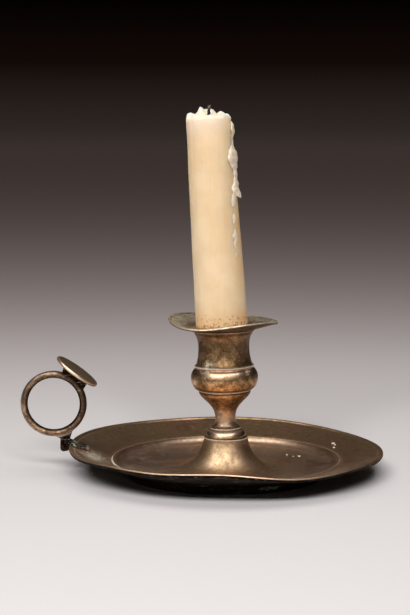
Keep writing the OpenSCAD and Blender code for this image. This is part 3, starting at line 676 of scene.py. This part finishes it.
def makePlate():
    p = plate
    mid = p["z"] + p["t"] / 2
    thin = p["t"] / 2 - 0.1

    def dish(r, side):
        return (r, mid + p["rise"] * plateShare(r) ** 1.4 + side * thin)

    line = [(p["holeR"], p["z"] + p["t"]), (p["flatR"] - 1.2, p["z"] + p["t"])]
    line += [dish(mix(p["flatR"] - 0.6, p["edgeR"] - 0.45, t), 1) for t in steps(26)]
    line += arc(dish(p["edgeR"], 0), p["edgeHalf"], 130, -130, 14)
    line += [dish(mix(p["edgeR"] - 0.45, p["flatR"] - 0.6, t), -1) for t in steps(26)]
    line += [(p["flatR"] - 1.2, p["z"]), (p["holeR"], p["z"])]
    bm = spun(line, p["count"])

    def above(co):
        return co.z > mid + p["rise"] * plateShare(math.hypot(co.x, co.y)) ** 1.4 - 0.1

    def wearAndHighlight(co):
        onEdge = bump(math.hypot(co.x, co.y), p["edgeR"] + 0.3, 0.4)
        return above(co) * max(1.3 * onEdge, mix(0.25, 0.55, bump(turnedBy(azimuthOf(co), 190), 0, 50)))

    def grimeAndShade(co):
        # the plate's underside is painted shade; a ring near the hole is darker too
        return max(0.55 * (not above(co)), 0.5 * bump(math.hypot(co.x, co.y), 13, 1.5))

    painted(bm, "wearAndHighlight", wearAndHighlight)
    painted(bm, "grimeAndShade", grimeAndShade)
    painted(bm, "crustAndHighlight", lambda co: 0.6 * bump(math.hypot(co.x, co.y), 22, 5) * above(co))
    for v in bm.verts:
        r, azimuth = math.hypot(v.co.x, v.co.y), azimuthOf(v.co)
        dip = p["dipMm"] * bump(turnedBy(azimuth, p["dipDeg"]), 0, 55)
        v.co.z += plateShare(r) ** 1.6 * (waves(p["bendMm"], p["bendDeg"], azimuth) - dip)
    finished(asObject("drip_plate_brass", moved(bm, onStem)), "nozzle", plateBrass, ["drip_plate"])


makePlate()


# Candle: a tapered, slightly uneven stick with a burnt crown and a whittled butt

candle = {
    "r": 11.95, "topR": 10.1, "height": 93.4, "leanDeg": 2.4, "shift": 0.6, "clear": 0.8,
    "buttR": 9.55, "buttDeep": 17.0, "count": 144, "wickOut": 6.0, "amberShadeDeg": -16,
    # lumps of the burnt rim: azimuth, height, width in degrees
    "rim": ((181, 3.7, 16), (114, 5.3, 24), (80, 4.9, 20), (96, 4.2, 30), (46, 3.2, 24), (146, 3.4, 22),
            (270, 2.1, 50), (232, 2.4, 26), (322, 2.3, 26), (8, 2.3, 20)),
}
onCandle = (onStem @ Matrix.Translation((-candle["shift"], 0, plate["z"] + plate["t"] + candle["clear"]))
            @ Matrix.Rotation(math.radians(-candle["leanDeg"]), 4, "Y"))


def candleR(z):
    return mix(candle["r"], candle["topR"], z / candle["height"])


def rimHeight(azimuth):
    # soft maximum of the rim's lumps
    lumps = [h * bump(turnedBy(azimuth, a), 0, w) for a, h, w in candle["rim"]]
    return sum(x ** 4 for x in lumps) ** 0.25


def makeCandle():
    c = candle
    top = c["height"]
    line = [(c["r"] - 1.4, -0.6), (c["r"] - 0.5, -0.3), (c["r"], 0.4)]
    line += [(candleR(top * t), top * t) for t in steps(120)[1:-1]]
    # the crown is drawn one unit high and stretched to the rim's height afterwards
    line += [(c["topR"], top), (c["topR"] - 0.12, top + 0.3), (c["topR"] - 0.4, top + 0.6)]
    line += [(mix(c["topR"] - 0.7, 7.8, t), top + mix(0.8, 1.0, math.sin(math.pi / 2 * t))) for t in steps(6)]
    line += [(mix(7.5, 1.3, t), top + mix(1.0, 0.12, t ** 0.8)) for t in steps(14)[1:]]
    line += [(1.2, top - 2.0), (1.2, -0.6)]
    bm = spun(line, c["count"])
    for v in bm.verts:
        r, azimuth = math.hypot(v.co.x, v.co.y), azimuthOf(v.co)
        up = v.co.z - top
        if up > 0:
            lumpy = 1 + 0.2 * noise.noise(v.co / 2.4) + 0.08 * noise.noise(v.co / 1.1)
            v.co.z = top + up * rimHeight(azimuth) * lumpy
            sag = 1 - 0.03 * bump(turnedBy(azimuth, 0), 0, 55) * up + 0.02 * noise.noise(v.co / 1.5)
            v.co.x *= sag
            v.co.y *= sag
        elif r > 2:
            upright = Vector((v.co.x, v.co.y, v.co.z / 9))
            uneven = 0.1 * noise.noise(v.co / 13) + 0.09 * noise.noise(upright / 2.6) + 0.04 * noise.noise(v.co / 2)
            uneven *= min(1, v.co.z / 4) if v.co.z > 0 else 0
            v.co.x *= 1 + uneven / r
            v.co.y *= 1 + uneven / r

    painted(bm, "melt", lambda co: (co.z - top + 9) / 11)
    painted(bm, "dirt", lambda co: 0.5 * bump(co.z, 0.3, 1.6) + 0.46 * bump(co.z, 4.0, 2.8))

    def amberAndShade(co):
        # the right side has yellowed, and is darkened further as painted shade on the side away from the light, most
        # of all under the wax run
        side = bump(turnedBy(azimuthOf(co), c["amberShadeDeg"]), 0, 32)
        return side * (0.3 + 0.5 * bump(co.z, 47, 12) + 0.3 * bump(co.z, 26, 5)) + 0.5 * bump(co.z, 1.5, 5)

    painted(bm, "amberAndShade", amberAndShade)
    painted(bm, "soot", lambda co: 0.8 * bump(math.hypot(co.x, co.y), 0, 1.9) * (co.z > top))
    moved(bm, onCandle)
    # the whittled butt hides in the nozzle, coaxial with it
    butt = spun([(1.2, plate["z"] + 1.0), (c["buttR"], plate["z"] + 1.0),
                 (c["buttR"], plate["z"] + plate["t"] - c["buttDeep"] + 0.8),
                 (c["buttR"] - 0.8, plate["z"] + plate["t"] - c["buttDeep"]),
                 (1.2, plate["z"] + plate["t"] - c["buttDeep"])], 48)
    moved(butt, onStem)
    buttMesh = bpy.data.meshes.new("butt")
    butt.to_mesh(buttMesh)
    butt.free()
    bm.from_mesh(buttMesh)
    bpy.data.meshes.remove(buttMesh)
    finished(asObject("candle_tallow", bm), "candle", tallow, ["candle"])


def makeWick():
    # three twisted strands, burnt thin and bent over a little at the tip
    c = candle
    bm = bmesh.new()
    start, length = c["height"] - 3.0, c["wickOut"] + 3.4
    for strand in range(3):
        ring = bmesh.ops.create_circle(bm, segments=10, radius=0.62, cap_ends=False)["verts"]
        edges = list({e for v in ring for e in v.link_edges})
        for v in ring:
            v.co += Vector((0, 0, start))
        last = None
        rows = 26
        for row in range(1, rows + 1):
            out = bmesh.ops.extrude_edge_only(bm, edges=edges)["geom"]
            ring = [g for g in out if isinstance(g, bmesh.types.BMVert)]
            edges = [g for g in out if isinstance(g, bmesh.types.BMEdge)]
            for v in ring:
                v.co.z += length / rows
        last = edges
        bmesh.ops.contextual_create(bm, geom=last)
        bmesh.ops.contextual_create(bm, geom=[e for e in bm.edges if e.is_boundary])
        fresh = [v for v in bm.verts if not v.tag]
        for v in fresh:
            v.tag = True
            t = (v.co.z - start) / length
            turn = math.tau * (strand / 3 + 1.6 * t)
            thin = mix(1.0, 0.62, t) * (1 + 0.18 * noise.noise(v.co / 0.7 + Vector((strand * 5, 0, 0))))
            v.co.x = v.co.x * thin + 0.42 * mix(1, 0.7, t) * math.cos(turn) + 0.9 * t * t
            v.co.y = v.co.y * thin + 0.42 * mix(1, 0.7, t) * math.sin(turn)
    bmesh.ops.recalc_face_normals(bm, faces=bm.faces)
    painted(bm, "ash", lambda co: (co.z - c["height"] - c["wickOut"] + 1.6) / 1.2)
    wick = asObject("wick_cotton", moved(bm, onCandle))
    finished(wick, "candle", burntWick, ["wick"])


# Wax runs: strings of soft lumps down the candle's side, melted into one skin

runs = {
    # each run: points of (depth under the crown's foot, azimuth, half width, how far it stands out)
    "lump": ((1.8, -8, 1.2, 0.4), (3.4, -10, 2.4, 1.1), (6.2, -9, 2.4, 1.2), (8.4, -8, 1.4, 0.5)),
    "long": ((8.4, -8, 1.4, 0.3), (12.5, -14, 2.2, 0.3), (14.8, -21, 3.8, 1.2), (17.5, -24, 4.6, 1.5),
             (20.5, -20, 3.8, 1.3), (23.5, -14, 2.4, 0.9), (28.0, -14, 2.6, 0.9), (31.5, -21, 4.0, 1.2),
             (33.4, -19, 3.4, 1.6), (34.6, -13, 2.3, 2.0), (35.8, -8, 1.2, 2.0)),
    "tail": ((34.0, -30, 2.0, 0.5), (36.5, -34, 1.8, 0.45), (39.5, -36, 1.2, 0.3)),
    "flakes": ((43.0, -38, 0.9, 0.2), (44.5, -38, 1.4, 0.4), (47.0, -38, 0.8, 0.2)),
    "flakes low": ((50.0, -38, 0.8, 0.2), (52.5, -39, 1.7, 0.4), (55.5, -40, 1.2, 0.3), (58.0, -41, 0.7, 0.2)),
    "flakes last": ((60.5, -40, 0.9, 0.25), (62.0, -41, 0.7, 0.2)),
    "ragged": 0.3, "step": 0.35,
}


def makeRuns():
    bm = bmesh.new()
    for points in (points for points in runs.values() if isinstance(points, tuple)):
        for a, b in zip(points, points[1:]):
            for t in steps(max(2, round((b[0] - a[0]) / runs["step"])))[:-1]:
                depth, azimuth, width, out = (mix(first, last, t) for first, last in zip(a, b))
                z = candle["height"] - depth
                ragged = 1 + runs["ragged"] * noise.noise(Vector((width, 0, z / 1.7)))
                azimuth += 6 * noise.noise(Vector((0, 5, z / 1.9)))
                reach = candleR(z) + out * ragged - width * 0.32
                ball = bmesh.ops.create_icosphere(bm, subdivisions=2, radius=1.0)["verts"]
                squash = Matrix.Diagonal((width * 0.32, width * ragged, max(0.6, width * 0.5), 1))
                spot = (Matrix.Rotation(math.radians(azimuth), 4, "Z")
                        @ Matrix.Translation((reach, 0, z)) @ squash)
                bmesh.ops.transform(bm, matrix=spot, verts=ball)
    piece = melted(asObject("wax_runs_set", moved(bm, onCandle)), 0.22, 6)
    finished(piece, "candle", setWax, ["wax_runs"])


makeCandle()
makeWick()
makeRuns()


# Finger ring with its tail, and the tongue and jaw that grip the brim

ring = {
    "centre": (-79.0, 32.2), "r": 13.55, "halfT": 1.65, "halfW": 2.2, "tongueT": 1.1, "tongueW": 8.4,
    "tongueEnd": 62.8, "jawEnd": 68.4, "gap": 0.95, "tailTop": 12.7, "edgeX": -72.12, "tailW": 4.0,
}
thumb = {"r": 11.1, "t": 1.6, "tiltDeg": 36, "lugH": 1.9, "outer": 15.2, "lugW": 3.4}
ringPlace = Matrix.Translation((ring["centre"][0], 0, ring["centre"][1]))
overRing = ringPlace @ Matrix.Rotation(math.radians(thumb["tiltDeg"]), 4, "Y")


def brimStrip(bm, start, end, width, low, high, rounded):
    # a strip of metal that follows the brim inwards from the ring's tail
    count = (20, 12)
    grid = bmesh.ops.create_grid(bm, x_segments=count[0], y_segments=count[1], size=1.0)["verts"]
    faces = list({f for v in grid for f in v.link_faces})
    for v in grid:
        x, across = mix(start, end, (v.co.x + 1) / 2), v.co.y
        half = width / 2
        if rounded and x > end - half:
            half *= math.sqrt(max(0.015, 1 - ((x - end + half) / half) ** 2))
        y = across * half
        v.co = Vector((x, y, brimMid(math.hypot(x, y), math.degrees(math.atan2(y, x))) + low))
    top = bmesh.ops.extrude_face_region(bm, geom=faces)["geom"]
    for g in top:
        if isinstance(g, bmesh.types.BMVert):
            g.co.z += high - low


def tailOutline():
    cx, cz = ring["centre"]
    inX, outX, low, top = ring["edgeX"], ring["edgeX"] - 3.9, ring["tailTop"] - 2.1, ring["tailTop"]
    line = [(cx + (ring["r"] + 0.2) * math.cos(a), cz + (ring["r"] + 0.2) * math.sin(a))
            for a in (math.radians(d) for d in range(-40, -101, -10))]
    line += [(outX + 0.1, top + 3.6), (outX, top + 0.4)]
    line += arc((outX + 1.6, low + 1.2), 1.6, 190, 260, 5)
    line += arc((inX - 0.8, low + 0.7), 0.8, -80, 0, 5)
    line += [(inX, top + 1.6), (inX + 0.6, top + 3.6)]
    for reach, degrees in ((15.2, -56), (14.9, -46)):
        line.append((cx + reach * math.cos(math.radians(degrees)), cz + reach * math.sin(math.radians(degrees))))
    return line


def makeRing():
    bm = bmesh.new()
    wire = bmesh.ops.create_circle(bm, segments=28, radius=1.0)["verts"]
    for v in wire:   # the wire is a rounded oval, wider across than it is thick
        flat = 1.12 if abs(v.co.y) < 0.8 else 1.0
        v.co = Vector((ring["r"] + v.co.x * ring["halfT"] * min(1, flat), v.co.y * ring["halfW"], 0))
    edges = list({e for v in wire for e in v.link_edges})
    bmesh.ops.spin(bm, geom=wire + edges, cent=(0, 0, 0), axis=(0, 1, 0),
                   angle=math.tau, steps=144, use_merge=True)
    moved(bm, ringPlace)
    outline = [bm.verts.new((x, -ring["tailW"] / 2, z)) for x, z in tailOutline()]
    side = bm.faces.new(outline)
    for g in bmesh.ops.extrude_face_region(bm, geom=[side])["geom"]:
        if isinstance(g, bmesh.types.BMVert):
            g.co.y += ring["tailW"]
    start = ring["edgeX"] - 1.9
    brimStrip(bm, start, -ring["tongueEnd"], ring["tongueW"], ring["gap"], ring["gap"] + ring["tongueT"], True)
    brimStrip(bm, start, -ring["jawEnd"], ring["tailW"], -ring["gap"] - ring["tongueT"], -ring["gap"], False)
    bmesh.ops.recalc_face_normals(bm, faces=bm.faces)
    piece = melted(asObject("finger_ring_brass", bm), 0.2, 4)
    mesh = bmesh.new()
    mesh.from_mesh(piece.data)
    cx, cz = ring["centre"][0] * mm, ring["centre"][1] * mm

    def outward(co):
        return math.hypot(co.x - cx, co.z - cz) / mm

    # the outside of the ring on its left and the tongue's end are painted bright: painted highlights
    painted(mesh, "wearAndHighlight", lambda co: 0.7 * max(0.0, (outward(co) - ring["r"] - 0.7) / 1.0) * (outward(co) < ring["r"] + 2)
            * bump(co.x, cx - 0.009, 0.013)
            + 0.8 * bump(co.x / mm, -ring["tongueEnd"] - 0.4, 0.9) * (co.z < 0.016))
    # the tail, tongue and jaw are darker, and so is the tail's joint at the brim; inside the ring and on its right
    # half towards the pan is painted shade
    painted(mesh, "grimeAndShade", lambda co: 0.6 * (outward(co) > ring["r"] + 2) + 0.75 * max(0.0, (ring["r"] - 0.5 - outward(co)) / 1.0)
            + 0.6 * bump(co.z / mm, 14.5, 2.5) * bump(co.x / mm, -73, 3)
            + 0.5 * max(0.0, (co.x - cx) / mm / ring["r"]) * (outward(co) < ring["r"] + 2))
    painted(mesh, "crustAndHighlight", lambda co: 0.6 * bump(co.x / mm, -69, 3.5) * (co.z < 0.0165))
    mesh.to_mesh(piece.data)
    mesh.free()
    finished(piece, "base", ringBrass, ["finger_ring"])


def makeThumb():
    # the lug is a small saddle between the ring and the thumb rest
    top = thumb["outer"] + thumb["lugH"]
    bm = bmesh.new()
    foot = thumb["outer"] - 2.3
    line = [(mix(-5.2, -6.6, t ** 2), mix(foot, top, t)) for t in steps(6)]
    line += [(mix(6.8, 7.2, t ** 0.5), mix(top, foot, t)) for t in steps(6)]
    outline = [bm.verts.new((x, -thumb["lugW"] / 2, z)) for x, z in line]
    side = bm.faces.new(outline)
    for g in bmesh.ops.extrude_face_region(bm, geom=[side])["geom"]:
        if isinstance(g, bmesh.types.BMVert):
            g.co.y += thumb["lugW"]
    bmesh.ops.recalc_face_normals(bm, faces=bm.faces)
    lug = melted(asObject("thumb_lug_brass", moved(bm, overRing)), 0.25, 3)
    mesh = bmesh.new()
    mesh.from_mesh(lug.data)
    # the lug, in the wedge under the thumb rest, is painted dark: painted shade
    painted(mesh, "grimeAndShade", lambda co: 0.8)
    mesh.to_mesh(lug.data)
    mesh.free()
    finished(lug, "base", ringBrass, ["thumb_lug"])

    r, t = thumb["r"], thumb["t"]
    base = top + 0.05
    line = [(0.0, 0.0), (r * 0.3, 0.0), (r * 0.62, 0.0)]
    line += [(mix(r * 0.62, r - 0.7, s), 0.5 * s ** 1.5) for s in steps(6)[1:]]
    line += arc((r - t / 2, 0.5 + t / 2), t / 2, -70, 100, 12)
    line += [(mix(r - t / 2 - 0.4, 0.0, s), 0.45 + t - 0.5 * math.sin(math.pi / 2 * s)) for s in steps(16)]
    bm = spun(line, 128, closed=False)
    painted(bm, "wearAndHighlight", lambda co: max(0.0, (math.hypot(co.x, co.y) - r + 0.3) / 0.5) + 0.4 * (co.z > 0.9))
    # the underside of the thumb rest is painted shade
    painted(bm, "grimeAndShade", lambda co: 0.5 * (co.z < 0.45))
    moved(bm, overRing @ Matrix.Translation((0, 0, base)))
    finished(asObject("thumb_rest_brass", bm), "base", thumbBrass, ["thumb_rest"])


makeRing()
makeThumb()


# Wax spots: a few drops that fell on the brim and in the well

spots = {"places": ((58.5, 28, 0.9), (55.5, 22, 0.7), (57.8, 25.2, 0.5), (39.5, 41.7, 0.6), (39.4, 35.0, 0.45),
                    (41.4, 32.0, 0.75)),
         "flat": 0.35}


def makeSpots():
    bm = bmesh.new()
    for r, azimuth, size in spots["places"]:
        a = math.radians(azimuth)
        drop = bmesh.ops.create_icosphere(bm, subdivisions=3, radius=size)["verts"]
        x, y = r * math.cos(a), r * math.sin(a)
        z = brimMid(r, azimuth) + pan["brimHalf"] if r > pan["ridgeR"] else wellHeight(r)
        place = Matrix.Translation((x, y, z)) @ Matrix.Diagonal((1, 1.2, spots["flat"], 1))
        bmesh.ops.transform(bm, matrix=place, verts=drop)
    painted(bm, "melt", lambda co: 1.0)
    finished(asObject("wax_spots", bm), "base", setWax)


makeSpots()
print("pieces ready")


# Studio: a pale paper floor, a wide softbox overhead, a lower one in front, and a dim room

studio = {
    "floorR": 12.0, "paper": "#efeae9", "paperShadedFar": "#ecdcd9", "fade": (0.1, 0.9),
    # room seen by the reflections: sine of the height above the horizon, and the tone there
    "room": ((-0.05, "#4a413e"), (-0.018, "#3c3431"), (0.0, "#2e2623"), (0.04, "#120a07"), (0.08, "#020101"),
             (0.3, "#0a0807"), (0.5, "#3e3836"), (1.0, "#4a4441")),
    "lights": {
        "key": {"size": (1.8, 1.15), "place": (-0.12, -0.53, 1.06), "aim": (0, 0, 0.05), "power": 20.5},
        "front": {"size": (3.2, 0.62), "place": (-0.35, -1.2, 0.53), "aim": (0, 0, 0.05), "power": 10.5},
        "paper front": {"size": (0.9, 0.3), "place": (-0.15, -1.05, 0.8), "aim": (0, 0.25, 0), "power": 16.0},
        "paper top": {"size": (0.8, 0.5), "place": (-0.05, 0, 0.6), "aim": (-0.05, 0, 0), "power": 1.35},
    },
}


def makeFloor():
    bm = bmesh.new()
    bmesh.ops.create_circle(bm, cap_ends=True, segments=96, radius=studio["floorR"] / mm)
    floor = asObject("floor", bm)
    material, tree = newMaterial("pale backdrop paper")
    place = addNode(tree, "ShaderNodeTexCoord").outputs["Object"]
    grain = noiseAt(tree, place, 60, 3, 0.5)
    axes = addNode(tree, "ShaderNodeSeparateXYZ", {"Vector": place})
    # the paper is painted a little darker and warmer towards the back: painted shade of the far floor
    fade = maths(tree, "ADD", remap(tree, axes.outputs["Y"], *studio["fade"]), maths(tree, "MULTIPLY", grain, 0.05), True)
    paper = blended(tree, fade, studio["paper"], studio["paperShadedFar"])
    shader = addNode(tree, "ShaderNodeBsdfPrincipled", {
        "Base Color": paper, "Roughness": 0.9, "Specular IOR Level": 0.1})
    addNode(tree, "ShaderNodeOutputMaterial", {"Surface": shader.outputs["BSDF"]})
    floor.data.materials.append(material)


def makeWorld():
    world = bpy.data.worlds.new("studio")
    bpy.context.scene.world = world
    world.use_nodes = True
    tree = world.node_tree
    tree.nodes.clear()
    up = addNode(tree, "ShaderNodeSeparateXYZ", {"Vector": addNode(tree, "ShaderNodeTexCoord").outputs["Generated"]})
    lowest = studio["room"][0][0]
    tones = addNode(tree, "ShaderNodeValToRGB", {"Fac": remap(tree, up.outputs["Z"], lowest, 1.0)})
    while len(tones.color_ramp.elements) < len(studio["room"]):
        tones.color_ramp.elements.new(1.0)
    for element, (height, tone) in zip(tones.color_ramp.elements, studio["room"]):
        element.position = (height - lowest) / (1.0 - lowest)
        element.color = toLinear(tone)
    back = addNode(tree, "ShaderNodeBackground", {"Color": tones.outputs["Color"], "Strength": 1.0})
    addNode(tree, "ShaderNodeOutputWorld", {"Surface": back.outputs["Background"]})


def makeLight(name, light):
    data = bpy.data.lights.new(name, "AREA")
    data.shape = "RECTANGLE"
    data.size, data.size_y = light["size"]
    data.energy = light["power"]
    lamp = bpy.data.objects.new(name, data)
    lamp.visible_camera = False
    bpy.context.scene.collection.objects.link(lamp)
    # the paper has its own lamps, and the softboxes light only the candlestick
    lit = bpy.data.collections.new(name + " light")
    lit.objects.link(bpy.data.objects["floor"])
    lit.collection_objects[0].light_linking.link_state = "INCLUDE" if name.startswith("paper") else "EXCLUDE"
    lamp.light_linking.receiver_collection = lit
    lamp.location = light["place"]
    aim = Vector(light["aim"]) - Vector(light["place"])
    lamp.rotation_euler = aim.to_track_quat("-Z", "Y").to_euler()


makeFloor()
makeWorld()
for name, light in studio["lights"].items():
    makeLight(name, light)


# Camera: fitted to the photograph, 6.4 degrees down on the candlestick from 0.72 m

view = {"place": (-0.0096, -0.7243, 0.1579), "downDeg": 6.41, "focalPx": 1600, "framePx": 615, "sensor": 36}
cameraData = bpy.data.cameras.new("camera")
cameraData.sensor_width = view["sensor"]
cameraData.lens = view["focalPx"] * view["sensor"] / view["framePx"]
camera = bpy.data.objects.new("camera", cameraData)
camera.location = view["place"]
camera.rotation_euler = (math.radians(90 - view["downDeg"]), 0, 0)
bpy.context.scene.collection.objects.link(camera)
bpy.context.scene.camera = camera
bpy.context.scene.view_settings.view_transform = "Standard"
